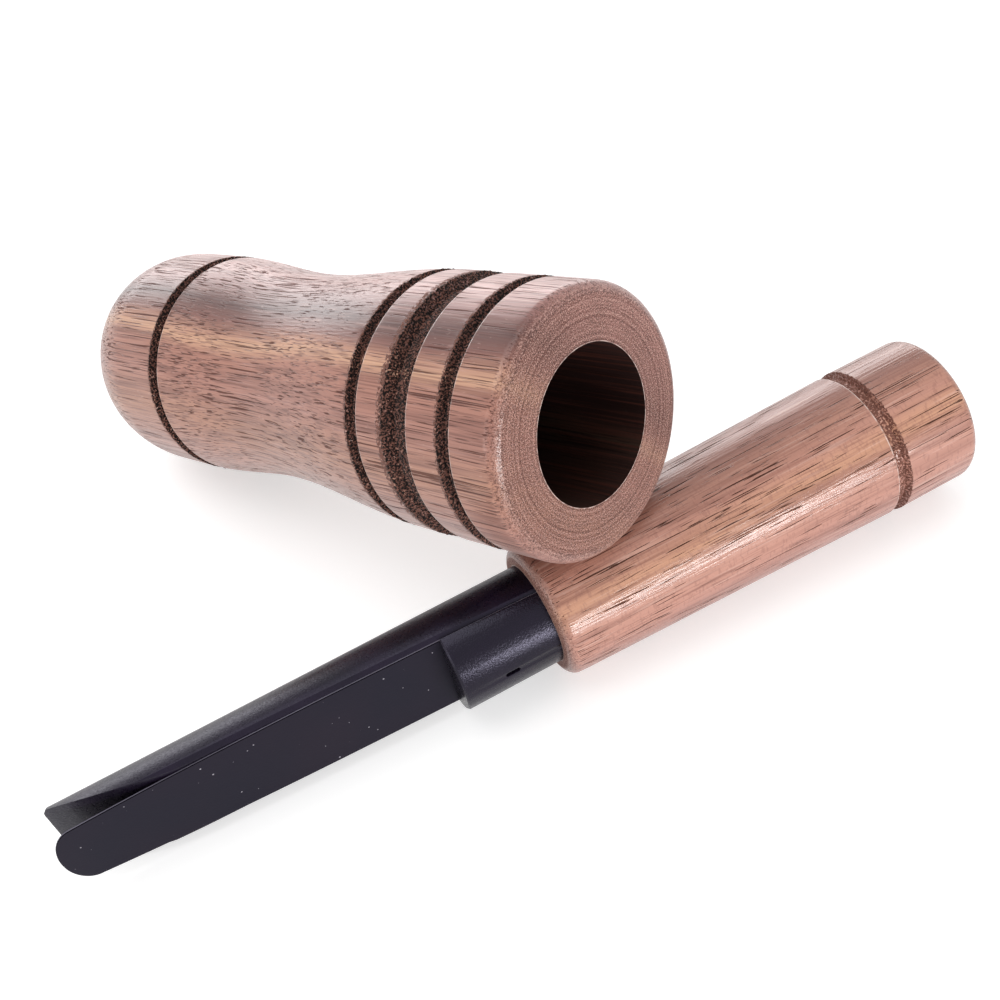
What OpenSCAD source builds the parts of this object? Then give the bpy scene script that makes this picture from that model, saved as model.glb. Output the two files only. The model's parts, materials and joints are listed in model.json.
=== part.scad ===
// Wooden bird call, pulled apart: a turned barrel leans on the end piece that plugs into it,
// and the end piece carries a black plastic cartridge of tone board, reed and wedge.
// The end piece lies on the surface z = 0 with its plug end towards -X.

/* [Barrel] */
// Length from the wide face to the mouth
barrel_len = 85; // [78:0.5:96]
// Outer diameter of the band at the wide end
barrel_d = 31; // [29:0.5:34]
// Bore that takes the end piece
bore_d = 18.1; // [17.8:0.1:18.6]
// Wood left between that bore's end and the mouth
mouth_wall = 7; // [6:0.5:11]
// Hole at the mouth
mouth_d = 13.5; // [13:0.1:15]
// Throat between the bore and the mouth hole
throat_len = 2.4; // [1:0.1:4]
// Length of the straight band at the wide end
band_len = 19.5; // [18:0.5:24]
// Diameter at the waist
waist_d = 27.1; // [25:0.1:28.5]
// Distance of the waist from the mouth
waist_back = 39; // [35:0.5:43]
// Diameter of the swelling behind the mouth
swell_d = 29.9; // [28:0.1:31]
// Distance from the mouth to where the swelling is full
swell_back = 19; // [16:0.5:23]
// Length of the rounded dome at the mouth
dome_len = 12.6; // [10:0.1:15]
// Rounding of the wide end's outer corner
barrel_edge_r = 1.6; // [0.8:0.1:2.5]

/* [Barrel grooves] */
// Distance of the first groove from the wide face
groove_1_at = 6.6; // [5:0.1:8]
// Distance of the wide middle groove from the wide face
groove_2_at = 13.2; // [11:0.1:14]
// Distance of the third groove from the wide face
groove_3_at = 21.4; // [19:0.1:24]
// Distance of the groove round the swelling from the mouth
groove_4_back = 22.2; // [20:0.1:25]
// Width of the narrow grooves
groove_w = 1.7; // [1.2:0.1:2.2]
// Width of the wide groove, which takes a lanyard loop
lanyard_w = 3.7; // [2.5:0.1:4.5]
// Depth of the narrow grooves
groove_depth = 0.9; // [0.5:0.1:1.4]
// Depth of the wide groove
lanyard_depth = 1.2; // [0.6:0.1:1.8]

/* [End piece] */
// Length of the wooden end piece
end_len = 58.2; // [54:0.2:66]
// Diameter at the plug's near rim, which enters the barrel first
plug_d = 17.2; // [16.6:0.1:17.6]
// Diameter where the taper ends, at the groove
taper_d = 19.2; // [18.6:0.1:20]
// Distance of the groove from the near rim
end_groove_at = 46.2; // [42:0.2:50]
// Width of that groove
end_groove_w = 1.7; // [1.2:0.1:2.2]
// Depth of that groove
end_groove_depth = 0.7; // [0.4:0.1:1.2]
// Diameter of the knob beyond the groove
knob_d = 19.4; // [18.8:0.1:20.4]
// Rounding of the knob's end
knob_edge_r = 1.2; // [0.6:0.1:2]
// Rounding of the near rim
plug_edge_r = 1.4; // [0.4:0.1:1.8]
// Depth of the socket that holds the cartridge
socket_depth = 23.5; // [20:0.5:28]
// Diameter of the hole that lets the sound out
exhaust_d = 9.5; // [8:0.1:11]
// Diameter of the flare at that hole's mouth
flare_d = 13; // [11.5:0.1:15]
// Length of that flare
flare_len = 4; // [2:0.1:6]

/* [Cartridge] */
// Diameter of the cartridge's shank
shank_d = 12.7; // [12.2:0.1:13.2]
// Radial clearance of the shank in its socket
shank_gap = 0.03; // [0.02:0.01:0.08]
// How far the tone board stands out of the end piece
board_out = 60; // [56:0.1:62]
// Turn of the cartridge about its axis, 0 with the reed on top
cartridge_turn = 88; // [0:1:180]
// Height of the table over the axis, at the wedge's front
table_h = 1.4; // [1.2:0.1:2.2]
// Slope of the table towards the tip
table_slope = 1.8; // [0:0.1:2.4]
// Width of the table's flat, beyond which its long edges are bevelled down to the round
table_flat_w = 11.7; // [11.2:0.1:12.2]
// Distance from the near rim to where the table curves away from the reed
take_off = 43; // [38:0.5:46]
// Radius of that curve, which runs on to the tip
nose_r = 40; // [34:0.5:80]
// Rounding of the tone board's two tip corners, seen on the table
tip_corner_r = 1.4; // [0.6:0.1:3]
// Width of the air channel
channel_w = 5.4; // [4.4:0.1:6]
// Height of the channel's round floor's centre over the axis
channel_mid = -0.7; // [-1.2:0.1:-0.2]
// Distance from the near rim to the channel's closed end
channel_out = 50.5; // [44:0.5:53]
// Length of the solid root behind the wedge
root_len = 8; // [5:0.5:11]
// Bevel on the tone board's outer ends
board_edge = 0.5; // [0.2:0.1:0.8]

/* [Wedge] */
// How far the wedge stands out of the end piece
wedge_out = 12.7; // [9:0.1:15]
// Play between the wedge and what it touches
wedge_gap = 0.02; // [0.01:0.01:0.05]
// Length of the small slot in its back
slot_len = 1.9; // [1.2:0.1:3]
// Width of that slot
slot_w = 0.6; // [0.4:0.1:1]
// Distance of the slot's middle from the near rim
slot_at = 6.5; // [4:0.1:7]
// Depth of that slot
slot_depth = 2; // [1:0.1:2.4]
// How far it sits off the middle of the wedge's back
slot_aside = 0.3; // [0:0.1:1.2]

/* [Reed] */
// Thickness of the reed
reed_t = 0.25; // [0.18:0.01:0.35]
// Width at the root
reed_root_w = 11.7; // [11:0.1:11.8]
// Width where the rounded tip begins
reed_tip_w = 9.4; // [8:0.1:10.4]
// How far the reed stands out of the end piece
reed_out = 60.8; // [56:0.1:63]
// Length of the rounded tip
reed_tip_len = 2.9; // [1.5:0.1:4]
// How late its sides draw in towards the tip, 1 for a plain taper
reed_taper_power = 3; // [1:0.1:4]

/* [Arrangement] */
// Direction that the barrel's mouth points in, from +X
barrel_heading = 115.2; // [100:0.2:130]
// Distance along the end piece, from its near rim, to where the barrel crosses it
cross_at = 7.8; // [6:0.1:12]
// Distance from the barrel's wide face to that crossing
cross_reach = 8; // [6:0.1:12]
// Air left between the barrel and the end piece
rest_gap = 0.04; // [0.02:0.01:0.1]

/* [Hidden] */
// Overrun of every cut
cut = 1;
// Facets of round shapes, and steps of the drawn curves
round_fn = 96;
edge_steps = 5;
curve_steps = 9;
dome_steps = 11;
nose_steps = 16;
taper_steps = 8;
tip_steps = 12;
// Colours
walnut = "#8a6650";
black_plastic = "#2b2930";
reed_plastic = "#25232a";

bore_r = bore_d / 2;
bore_depth = barrel_len - mouth_wall;
waist_at = barrel_len - waist_back;
swell_at = barrel_len - swell_back;
groove_4_at = barrel_len - groove_4_back;
barrel_r = barrel_d / 2;
waist_r = waist_d / 2;
swell_r = swell_d / 2;
mouth_r = mouth_d / 2;
dome_at = barrel_len - dome_len;
plug_r = plug_d / 2;
taper_r = taper_d / 2;
knob_r = knob_d / 2;
shank_r = shank_d / 2;
socket_r = shank_r + shank_gap;
exhaust_r = exhaust_d / 2;
flare_r = flare_d / 2;
channel_r = channel_w / 2;
// The grooves' walls lean in by this share of their width
groove_lean_share = 0.22;
// The wedge's bevel, as a share of the tone board's
wedge_edge_share = 0.5;
// Play behind the reed's root
root_play = 0.5;

// The end piece lies on its taper, so its axis rises by the taper's half angle
taper_angle = atan((taper_r - plug_r) / end_groove_at);
axis_h = plug_r * cos(taper_angle);
end_dir = [cos(taper_angle), 0, sin(taper_angle)];
cross_r = (plug_r + (taper_r - plug_r) * cross_at / end_groove_at) / cos(taper_angle);

// The barrel leans so far that it rests on the end piece and its dome touches the surface
function barrel_dir(lean) =
    [cos(lean) * cos(barrel_heading), cos(lean) * sin(barrel_heading), -sin(lean)];
function unit(v) = v / norm(v);
function face_centre(lean) =
    [0, 0, axis_h] + end_dir * cross_at - barrel_dir(lean) * cross_reach
    + unit(cross(end_dir, barrel_dir(lean))) * (barrel_r + cross_r + rest_gap);
// How far the dome reaches in a direction whose share along the barrel's axis is given
function dome_reach(along) =
    dome_at * along + mouth_r * sqrt(1 - along * along)
    + norm([dome_len * along, (swell_r - mouth_r) * sqrt(1 - along * along)]);
function lean_between(low, high, steps) =
    let (mid = (low + high) / 2)
    steps == 0 ? mid
    : face_centre(mid)[2] > dome_reach(sin(mid)) ? lean_between(mid, high, steps - 1)
    : lean_between(low, mid, steps - 1);
lean_low = 0;
lean_high = 60;
lean_steps = 30;
barrel_lean = lean_between(lean_low, lean_high, lean_steps);
barrel_place = face_centre(barrel_lean);

// The origin is on the surface, under the middle of the whole arrangement's box
far_y = barrel_place[1] + dome_reach(barrel_dir(barrel_lean)[1]);
origin_x = (end_len - reed_out) / 2;
origin_y = (far_y - knob_r) / 2;

// Places along the cartridge's axis, positive into the end piece
seat_gap = wedge_gap;
root_x = socket_depth - seat_gap;
shoulder_x = root_x - root_len;
// The reed's root, counted on the table, whose x = 0 is at the wedge's front
reed_root = wedge_out + shoulder_x - root_play;

function lerp(a, b, share) = a + (b - a) * share;
function ease(share) = (1 - cos(180 * share)) / 2;
function arc(centre, r, from, to, steps) =
    [for (i = [0:steps]) let (a = lerp(from, to, i / steps)) centre + r * [cos(a), sin(a)]];
// A smooth run from one radius to another, without its first point
function swell(z1, r1, z2, r2) =
    [for (i = [1:curve_steps]) let (u = i / curve_steps) [lerp(r1, r2, ease(u)), lerp(z1, z2, u)]];

// Half of a turned piece's section: x is the radius and y the distance along its axis
barrel_section = concat(
    [[bore_r, 0]],
    arc([barrel_r - barrel_edge_r, barrel_edge_r], barrel_edge_r, -90, 0, edge_steps),
    [[barrel_r, band_len]],
    swell(band_len, barrel_r, waist_at, waist_r),
    swell(waist_at, waist_r, swell_at, swell_r),
    [for (i = [0:dome_steps]) let (a = 90 * i / dome_steps)
        [mouth_r + (swell_r - mouth_r) * cos(a), dome_at + dome_len * sin(a)]],
    [[mouth_r, bore_depth + throat_len], [bore_r, bore_depth]]
);
end_section = concat(
    [[socket_r, 0]],
    arc([plug_r - plug_edge_r, plug_edge_r], plug_edge_r, -90, 0, edge_steps),
    [[taper_r, end_groove_at], [knob_r, end_groove_at + end_groove_w]],
    arc([knob_r - knob_edge_r, end_len - knob_edge_r], knob_edge_r, 0, 90, edge_steps),
    [[flare_r, end_len], [exhaust_r, end_len - flare_len], [exhaust_r, socket_depth],
        [socket_r, socket_depth]]
);

module turned(points) {
    rotate_extrude($fn = round_fn) polygon(points);
}

// A ring that cuts a groove from a surface of radius r, from at to at + w
module groove_ring(at, w, depth, r) {
    lean = w * groove_lean_share;
    out = lean * cut / depth;
    turned([
        [r - depth, at + lean], [r - depth, at + w - lean],
        [r + cut, at + w + out], [r + cut, at - out]
    ]);
}

module barrel() {
    color(walnut)
    on_lean()
    difference() {
        turned(barrel_section);
        groove_ring(groove_1_at, groove_w, groove_depth, barrel_r);
        groove_ring(groove_2_at, lanyard_w, lanyard_depth, barrel_r);
        groove_ring(groove_3_at, groove_w, groove_depth, barrel_r);
        groove_ring(groove_4_at, groove_w, groove_depth, swell_r);
    }
}

module end_piece() {
    color(walnut)
    on_end_axis() along_x()
    difference() {
        turned(end_section);
        groove_ring(end_groove_at, end_groove_w, end_groove_depth, taper_r);
    }
}

// Side view of the tone board: the table, its curve down to the tip, and the solid root
function table_z(x) = table_h + (x + wedge_out) * tan(table_slope);
nose_centre = [-take_off, table_z(-take_off)] + nose_r * [sin(table_slope), -cos(table_slope)];
function nose_z(x) = nose_centre[1] + sqrt(nose_r * nose_r - pow(x - nose_centre[0], 2));
board_side = concat(
    [[-board_out, -shank_r - cut]],
    [for (i = [0:nose_steps]) let (x = lerp(-board_out, -take_off, i / nose_steps)) [x, nose_z(x)]],
    [[shoulder_x, table_z(shoulder_x)], [shoulder_x, shank_r + cut],
        [root_x, shank_r + cut], [root_x, -shank_r - cut]]
);
// Top view of the tone board: only its tip corners are cut round
corner_x = tip_corner_r - board_out;
tip_half_w = sqrt(shank_r * shank_r - pow(nose_z(corner_x), 2));
board_plan = concat(
    [[root_x, -shank_r - cut], [root_x, shank_r + cut], [corner_x, shank_r + cut]],
    arc([corner_x, tip_half_w - tip_corner_r], tip_corner_r, 90, 180, edge_steps),
    arc([corner_x, tip_corner_r - tip_half_w], tip_corner_r, 180, 270, edge_steps),
    [[corner_x, -shank_r - cut]]
);

// A round bar along x with bevelled ends
module bar(x1, x2, r, bevel) {
    translate([x1, 0, 0]) along_x()
    turned([
        [0, 0], [r - bevel, 0], [r, bevel],
        [r, x2 - x1 - bevel], [r - bevel, x2 - x1], [0, x2 - x1]
    ]);
}

module tone_board() {
    channel_len = shoulder_x + channel_out;
    color(black_plastic)
    on_cartridge()
    difference() {
        intersection() {
            bar(-board_out, root_x, shank_r, board_edge);
            rotate([90, 0, 0]) translate([0, 0, -shank_r - cut])
                linear_extrude(2 * (shank_r + cut)) polygon(board_side);
            translate([0, 0, -shank_r - cut])
                linear_extrude(2 * (shank_r + cut)) polygon(board_plan);
        }
        on_table() for (side = [-1, 1]) edge_bevel(side);
        translate([-channel_out, -channel_r, channel_mid])
            cube([channel_len, channel_w, shank_r + cut]);
        translate([-channel_out, 0, channel_mid]) along_x()
            cylinder(r = channel_r, h = channel_out + root_x + cut, $fn = round_fn);
    }
}

// What a bevel takes off one long edge of the table, from beyond the tip to the reed's root
module edge_bevel(side) {
    flat = side * table_flat_w / 2;
    reach = side * shank_r;
    translate([-board_out, 0, 0]) rotate([90, 0, 90])
        linear_extrude(board_out + reed_root)
        polygon([[flat, 0], [flat + reach, -shank_r], [flat + reach, cut], [flat, cut]]);
}

module wedge() {
    wedge_len = wedge_out + shoulder_x - seat_gap;
    color(black_plastic)
    on_cartridge()
    difference() {
        bar(-wedge_out, shoulder_x - seat_gap, shank_r, board_edge * wedge_edge_share);
        // its flat side lies on the reed
        on_table() translate([-wedge_len, -shank_r - cut, reed_t + wedge_gap - shank_d])
            cube([3 * wedge_len, 2 * (shank_r + cut), shank_d]);
        translate([-slot_at, slot_aside, shank_r - slot_depth]) slot_tool();
    }
}
// A slot with round ends
module slot_tool() {
    slot_mid = slot_len - slot_w;
    linear_extrude(slot_depth + cut)
    union() {
        translate([-slot_mid / 2, -slot_w / 2]) square([slot_mid, slot_w]);
        for (side = [-1, 1]) translate([side * slot_mid / 2, 0]) circle(d = slot_w, $fn = round_fn);
    }
}

// The reed's outline on the table
reed_tip = wedge_out + reed_tip_len - reed_out;
function reed_half_w(share) = lerp(reed_root_w, reed_tip_w, pow(share, reed_taper_power)) / 2;
reed_side = [for (i = [0:taper_steps]) let (u = i / taper_steps) [reed_tip * u, reed_half_w(u)]];
reed_plan = concat(
    [[reed_root, -reed_root_w / 2], [reed_root, reed_root_w / 2]],
    reed_side,
    [for (i = [1:tip_steps - 1]) let (a = 180 * i / tip_steps)
        [reed_tip - reed_tip_len * sin(a), reed_tip_w / 2 * cos(a)]],
    [for (i = [taper_steps:-1:0]) [reed_side[i][0], -reed_side[i][1]]]
);

module reed() {
    color(reed_plastic)
    on_cartridge() on_table() linear_extrude(reed_t) polygon(reed_plan);
}

// Places: each moves its children from their own frame to the whole arrangement's
module along_x() {
    rotate([0, 90, 0]) children();
}

module on_end_axis() {
    translate([-origin_x, -origin_y, axis_h]) rotate([0, -taper_angle, 0]) children();
}

module on_cartridge() {
    on_end_axis() rotate([cartridge_turn, 0, 0]) children();
}

module on_table() {
    translate([-wedge_out, 0, table_h]) rotate([0, -table_slope, 0]) children();
}

module on_lean() {
    translate(barrel_place - [origin_x, origin_y, 0])
        rotate([0, 90 + barrel_lean, barrel_heading]) children();
}

barrel();
end_piece();
tone_board();
wedge();
reed();
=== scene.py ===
# %% [markdown]
# # A turned walnut bird call, pulled apart
# A wooden call is two turned pieces. The long barrel is blown into, and the short end piece plugs
# into it and carries a black plastic cartridge: a tone board, a thin reed and a wedge that holds
# the reed down. Here the end piece lies on a pale floor and the barrel leans on it.
#
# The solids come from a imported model, and stay where they are. This script gives them their finish:
# lacquered walnut, grooves charred on the lathe, moulded plastic and a cut plastic film.

# %% Load the frame
import json
import math

import bmesh
import bpy
from mathutils import Matrix, Vector


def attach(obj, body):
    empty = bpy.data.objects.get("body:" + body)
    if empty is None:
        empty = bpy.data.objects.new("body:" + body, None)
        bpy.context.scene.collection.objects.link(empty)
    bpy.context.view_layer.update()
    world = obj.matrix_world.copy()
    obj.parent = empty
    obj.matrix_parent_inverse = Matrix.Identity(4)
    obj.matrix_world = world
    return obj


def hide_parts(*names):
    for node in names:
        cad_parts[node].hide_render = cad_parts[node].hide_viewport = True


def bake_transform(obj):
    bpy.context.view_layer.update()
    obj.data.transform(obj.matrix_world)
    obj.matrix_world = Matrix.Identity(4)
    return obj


MM = 0.001
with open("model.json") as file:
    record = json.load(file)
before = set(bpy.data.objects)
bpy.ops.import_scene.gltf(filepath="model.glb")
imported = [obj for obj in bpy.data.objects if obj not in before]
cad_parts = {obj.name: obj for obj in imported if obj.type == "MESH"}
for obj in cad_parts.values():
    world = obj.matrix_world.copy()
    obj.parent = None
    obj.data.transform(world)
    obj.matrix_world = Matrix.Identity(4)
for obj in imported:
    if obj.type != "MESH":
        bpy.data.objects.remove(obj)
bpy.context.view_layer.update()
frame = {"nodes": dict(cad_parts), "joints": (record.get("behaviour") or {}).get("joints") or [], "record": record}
mounts = {mount["name"]: mount for mount in frame["record"]["mounts"]}
joints = {joint["name"]: joint for joint in frame["joints"]}
print("nodes:", ", ".join(sorted(frame["nodes"])))

# %% [markdown]
# ## Where each piece lies
# Both wooden pieces were turned on a lathe, so each is easiest to describe in its own frame, with Z
# along its axis and Z = 0 at the end that was cut square. Their places could be typed in, but the
# record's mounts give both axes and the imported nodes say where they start, so they are read from
# there. The cartridge has a frame of its own too: X along it, and Y along the reed's hinge axis.


# %% Each piece's own frame
def own_frame(origin, x_axis, y_axis, z_axis):
    """The matrix that carries a piece from its own frame to its place in the model."""
    turn = Matrix((x_axis, y_axis, z_axis)).transposed()
    return Matrix.Translation(origin) @ turn.to_4x4()


def lathe_frame(node, mount, along):
    """The frame of a turned node: Z along its axis, from its lowest end, and X level."""
    along = along.normalized()
    point = Vector(mount["pos_m"])
    start = min((vertex.co - point).dot(along) for vertex in frame["nodes"][node].data.vertices)
    level = Vector((0, 0, 1)).cross(along).normalized()
    return own_frame(point + along * start, level, along.cross(level), along)


barrel_place = lathe_frame("barrel", mounts["barrel_bore"], -Vector(mounts["barrel_bore"]["axis"]))
end_place = lathe_frame("end_piece", mounts["exhaust_bore"], Vector(mounts["exhaust_bore"]["axis"]))
cartridge_x = end_place.to_3x3() @ Vector((0, 0, 1))
cartridge_y = Vector(joints["reed_flex"]["axis"]).normalized()
cartridge_place = own_frame(
    end_place.translation, cartridge_x, cartridge_y, cartridge_x.cross(cartridge_y)
)
for title, place in (("barrel", barrel_place), ("end piece", end_place)):
    print(title, "starts at, mm:", [round(v / MM, 2) for v in place.translation])

# %% [markdown]
# ## The camera
# The photograph was taken from above and in front, with a slightly long lens. A camera could be
# placed by eye. Here its place was worked out from the rims and grooves of the turned pieces, whose
# circles show as ellipses, because that settles the proportions too. The small shift puts the
# middle of the lens where it was in the picture.

# %% Camera
CAMERA_PLACE = Vector((-30.8, -124.7, 130.4)) * MM
LOOKING = Vector((0.216, 0.651, -0.727))
TO_THE_RIGHT = Vector((0.878, -0.456, -0.147))
FOCAL_MM = 46.16
SENSOR_MM = 36
SHIFT = (0.0035, 0.0053)


def new_object(name, data):
    """An object in the scene that shows this mesh, lamp or camera."""
    made = bpy.data.objects.new(name, data)
    bpy.context.scene.collection.objects.link(made)
    return made


back = -LOOKING.normalized()
right = (TO_THE_RIGHT - back * TO_THE_RIGHT.dot(back)).normalized()
camera_data = bpy.data.cameras.new("camera")
camera_data.lens = FOCAL_MM
camera_data.sensor_width = SENSOR_MM
camera_data.shift_x, camera_data.shift_y = SHIFT
camera_data.clip_start = 1 * MM
camera = new_object("camera", camera_data)
camera.matrix_world = own_frame(CAMERA_PLACE, right, back.cross(right), back)
bpy.context.scene.camera = camera
print("camera looks down by", round(math.degrees(math.asin(back.z)), 1), "degrees")

# %% [markdown]
# ## Two helpers for nodes
# Materials and Geometry Nodes are both trees of nodes. One function adds a node, sets it up and
# links what feeds it. Colours are written as the hex values that a screen shows, and a second
# function turns them into the linear values that a shader works with.


# %% Helpers for nodes
def add(tree, kind, inputs=(), **settings):
    """Adds a node. Its inputs, in order or by name, are constants, sockets or other nodes."""
    node = tree.nodes.new(kind)
    for name, value in settings.items():
        setattr(node, name, value)
    if isinstance(inputs, dict):
        pairs = [(node.inputs[name], value) for name, value in inputs.items()]
    else:
        pairs = zip([socket for socket in node.inputs if socket.enabled], inputs)
    for socket, value in pairs:
        if isinstance(value, bpy.types.Node):
            value = next(output for output in value.outputs if output.enabled)
        if isinstance(value, bpy.types.NodeSocket):
            tree.links.new(value, socket)
        else:
            socket.default_value = value
    return node


def linear(hex_colour):
    """A screen colour such as #8a6650 as linear red, green, blue and alpha."""
    parts = [int(hex_colour[i : i + 2], 16) / 255 for i in (1, 3, 5)]
    return [p / 12.92 if p <= 0.04045 else ((p + 0.055) / 1.055) ** 2.4 for p in parts] + [1]


print("white as linear light:", linear("#ffffff"))

# %% [markdown]
# ## The sizes of the turned wood
# These are the sizes that a turner would work to, in millimetres, the same as in the solids. The
# grooves were cut with a narrow tool and then charred with a wire held against the spinning wood,
# which leaves them black, rough and a little crumbly. The end piece's groove is only browned.

# %% Sizes of the wood
BARREL = {
    "length": 85, "radius": 15.5, "bore": 9.05, "bore_depth": 78, "mouth": 6.75, "throat": 2.4,
    "band": 19.5, "waist": 13.55, "waist_at": 46, "swell": 14.95, "swell_at": 66, "dome": 12.6,
    "edge": 1.6,
}
END = {
    "length": 58.2, "rim": 8.6, "taper": 9.6, "knob": 9.7, "knob_edge": 1.2, "rim_edge": 1.4,
    "socket": 6.38, "socket_depth": 23.5, "exhaust": 4.75, "flare": 6.5, "flare_length": 4,
}
# Of each groove: its place from the wide face or near rim, width and depth, how far the charring
# spread past its far edge, and how black it is from 0 to 1
BARREL_GROOVES = [
    (6.6, 1.7, 0.9, 0.5, 1.0),
    (13.2, 3.7, 1.2, 1.1, 1.0),
    (21.4, 1.7, 0.9, 0.45, 1.0),
    (62.8, 1.7, 0.9, 0.35, 1.0),
]
END_GROOVE = (46.2, 1.7, 0.7, 0.12, 0.45)
# The walls of a groove lean in by this share of its width
GROOVE_LEAN = 0.22
print("grooves on the barrel:", len(BARREL_GROOVES))

# %% [markdown]
# ## A section that the lathe turns
# A turned piece is one closed section spun round its axis. It could be a curve, but a chain of
# points also carries what the finish needs: how charred the wood is, how much of its end grain
# shows and whether it is in the bore. Plain stretches get few points and the grooves many, because
# their roughness is real shape. A charred share below 0 marks a sharp edge, on which a pale
# highlight is painted.

# %% Lines and arcs of a section
# Lengths between points, in mm, on plain stretches, curves, charred rows and inside the bore
PLAIN_STEP = 1.3
CURVE_STEP = 0.3
CHAR_STEP = 0.16
BORE_STEP = 4.0
# Width of the flat that a sharp edge is worn to, in mm, and the charred share that marks it for a painted
# highlight
CRISP_EDGE = 0.14
PALE = -1.0
# The fewest steps that an arc is drawn with
ARC_STEPS = 3


def straight(chain, radius, along, step, char=0.0, end_grain=0.0, bore=0.0):
    """Adds evenly spaced points up to a new one; what they carry changes evenly too."""
    last = chain[-1]
    new = (radius, along, char, end_grain, bore)
    count = max(1, round(math.dist(last[:2], new[:2]) / step))
    for i in range(1, count + 1):
        chain.append(tuple(a + (b - a) * i / count for a, b in zip(last, new)))


def follow(chain, outline, along, step):
    """Adds points on the outline, a function of the distance along the axis, up to a place."""
    start = chain[-1][1]
    count = max(1, math.ceil((along - start) / step))
    for i in range(1, count + 1):
        place = start + (along - start) * i / count
        chain.append((outline(place), place, 0.0, 0.0, 0.0))


def quarter(chain, centre, radii, first, last, step):
    """Adds an arc: centre and radii as (across, along), angles in degrees from across to along."""
    arc = math.radians(abs(last - first)) * max(radii)
    count = max(ARC_STEPS, math.ceil(arc / step))
    for i in range(1, count + 1):
        angle = math.radians(first + (last - first) * i / count)
        across = centre[0] + radii[0] * math.cos(angle)
        along = centre[1] + radii[1] * math.sin(angle)
        chain.append((across, along, 0.0, math.sin(angle) ** 2, 0.0))


# %% Faces and grooves of a section
def square_face(inner, outer, step):
    """Starts a chain at the hole's edge and crosses the square face to its rounding."""
    # The hole's crisp edge carries PALE, so a highlight is painted along it
    chain = [(inner, 0.0, PALE, 1.0, 1.0)]
    straight(chain, inner + CRISP_EDGE / 3, 0, CRISP_EDGE, PALE, end_grain=1)
    straight(chain, inner + CRISP_EDGE, 0, CRISP_EDGE, end_grain=1)
    straight(chain, outer, 0, step, end_grain=1)
    return chain


def groove(chain, outline, at, width, depth, spread, black):
    """Adds a charred groove: a crisp near edge with a painted highlight, a rough floor, a singed far edge."""
    follow(chain, outline, at - 2 * CRISP_EDGE, PLAIN_STEP)
    # The near edge carries PALE, so a highlight is painted along it
    straight(chain, outline(at), at - CRISP_EDGE, CHAR_STEP, PALE)
    straight(chain, outline(at) - CRISP_EDGE, at, CHAR_STEP / 2, PALE)
    floor = outline(at) - depth
    lean = width * GROOVE_LEAN
    straight(chain, floor, at + lean, CHAR_STEP, black)
    straight(chain, floor, at + width - lean, CHAR_STEP, black)
    straight(chain, outline(at + width), at + width, CHAR_STEP, black)
    straight(chain, outline(at + width + spread), at + width + spread, CHAR_STEP)


# %% The barrel's section
def barrel_outline(along):
    """Radius of the barrel's outside up to its dome: a band, a waist and a swelling."""
    b = BARREL
    for start, from_radius, end, to_radius in (
        (b["band"], b["radius"], b["waist_at"], b["waist"]),
        (b["waist_at"], b["waist"], b["swell_at"], b["swell"]),
    ):
        if start < along <= end:
            share = (1 - math.cos(math.pi * (along - start) / (end - start))) / 2
            return from_radius + (to_radius - from_radius) * share
    return b["radius"] if along <= b["band"] else b["swell"]


def barrel_section():
    """The barrel's closed section, from the bore's edge round the outside and back inside."""
    b = BARREL
    rounding = b["radius"] - b["edge"]
    chain = square_face(b["bore"], rounding, PLAIN_STEP)
    quarter(chain, (rounding, b["edge"]), (b["edge"],) * 2, -90, 0, CURVE_STEP)
    for cut in BARREL_GROOVES:
        groove(chain, barrel_outline, *cut)
    dome_at = b["length"] - b["dome"]
    follow(chain, barrel_outline, dome_at, PLAIN_STEP)
    dome = (b["swell"] - b["mouth"], b["dome"])
    quarter(chain, (b["mouth"], dome_at), dome, 0, 90, PLAIN_STEP / 2)
    straight(chain, b["mouth"], b["bore_depth"] + b["throat"], BORE_STEP, bore=1)
    straight(chain, b["bore"], b["bore_depth"], BORE_STEP, bore=1)
    straight(chain, b["bore"], 0, BORE_STEP, bore=1)
    return chain


print("points in the barrel's section:", len(barrel_section()))


# %% The end piece's section
def end_outline(along):
    """Radius of the end piece's outside: a long taper, then the knob."""
    at, width = END_GROOVE[:2]
    if along <= at:
        return END["rim"] + (END["taper"] - END["rim"]) * along / at
    return END["taper"] + (END["knob"] - END["taper"]) * min(1, (along - at) / width)


def end_section():
    """The end piece's closed section, from the socket's edge round the outside and back inside."""
    e = END
    rim = e["rim"] - e["rim_edge"]
    chain = square_face(e["socket"], rim, CURVE_STEP)
    quarter(chain, (rim, e["rim_edge"]), (e["rim_edge"],) * 2, -90, 0, CURVE_STEP)
    groove(chain, end_outline, *END_GROOVE)
    knob, knob_end = e["knob"] - e["knob_edge"], e["length"] - e["knob_edge"]
    follow(chain, end_outline, knob_end, PLAIN_STEP)
    quarter(chain, (knob, knob_end), (e["knob_edge"],) * 2, 0, 90, CURVE_STEP)
    straight(chain, e["flare"], e["length"], PLAIN_STEP, end_grain=1)
    straight(chain, e["exhaust"], e["length"] - e["flare_length"], PLAIN_STEP, bore=1)
    straight(chain, e["exhaust"], e["socket_depth"], BORE_STEP, bore=1)
    straight(chain, e["socket"], e["socket_depth"], BORE_STEP, bore=1)
    straight(chain, e["socket"], 0, BORE_STEP, bore=1)
    return chain


print("points in the end piece's section:", len(end_section()))

# %% [markdown]
# ## The lathe, in Geometry Nodes
# Spinning a section is a rule. A Screw modifier could do it, but it can't roughen some rows only,
# so a node tree does it. A grid has a column for each step of the turn and a row for each point of
# the section, and its points move to their places round the axis. In the charred rows a fine noise
# pushes them in and out. The tree also stores each point's place in the piece's own frame, in
# millimetres: the figure is drawn from that, so it runs through the piece as in a real blank.

# %% The lathe's sockets and its grid
# The three shares that a point of the section carries
SHARES = ("char", "end_grain", "bore")


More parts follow.
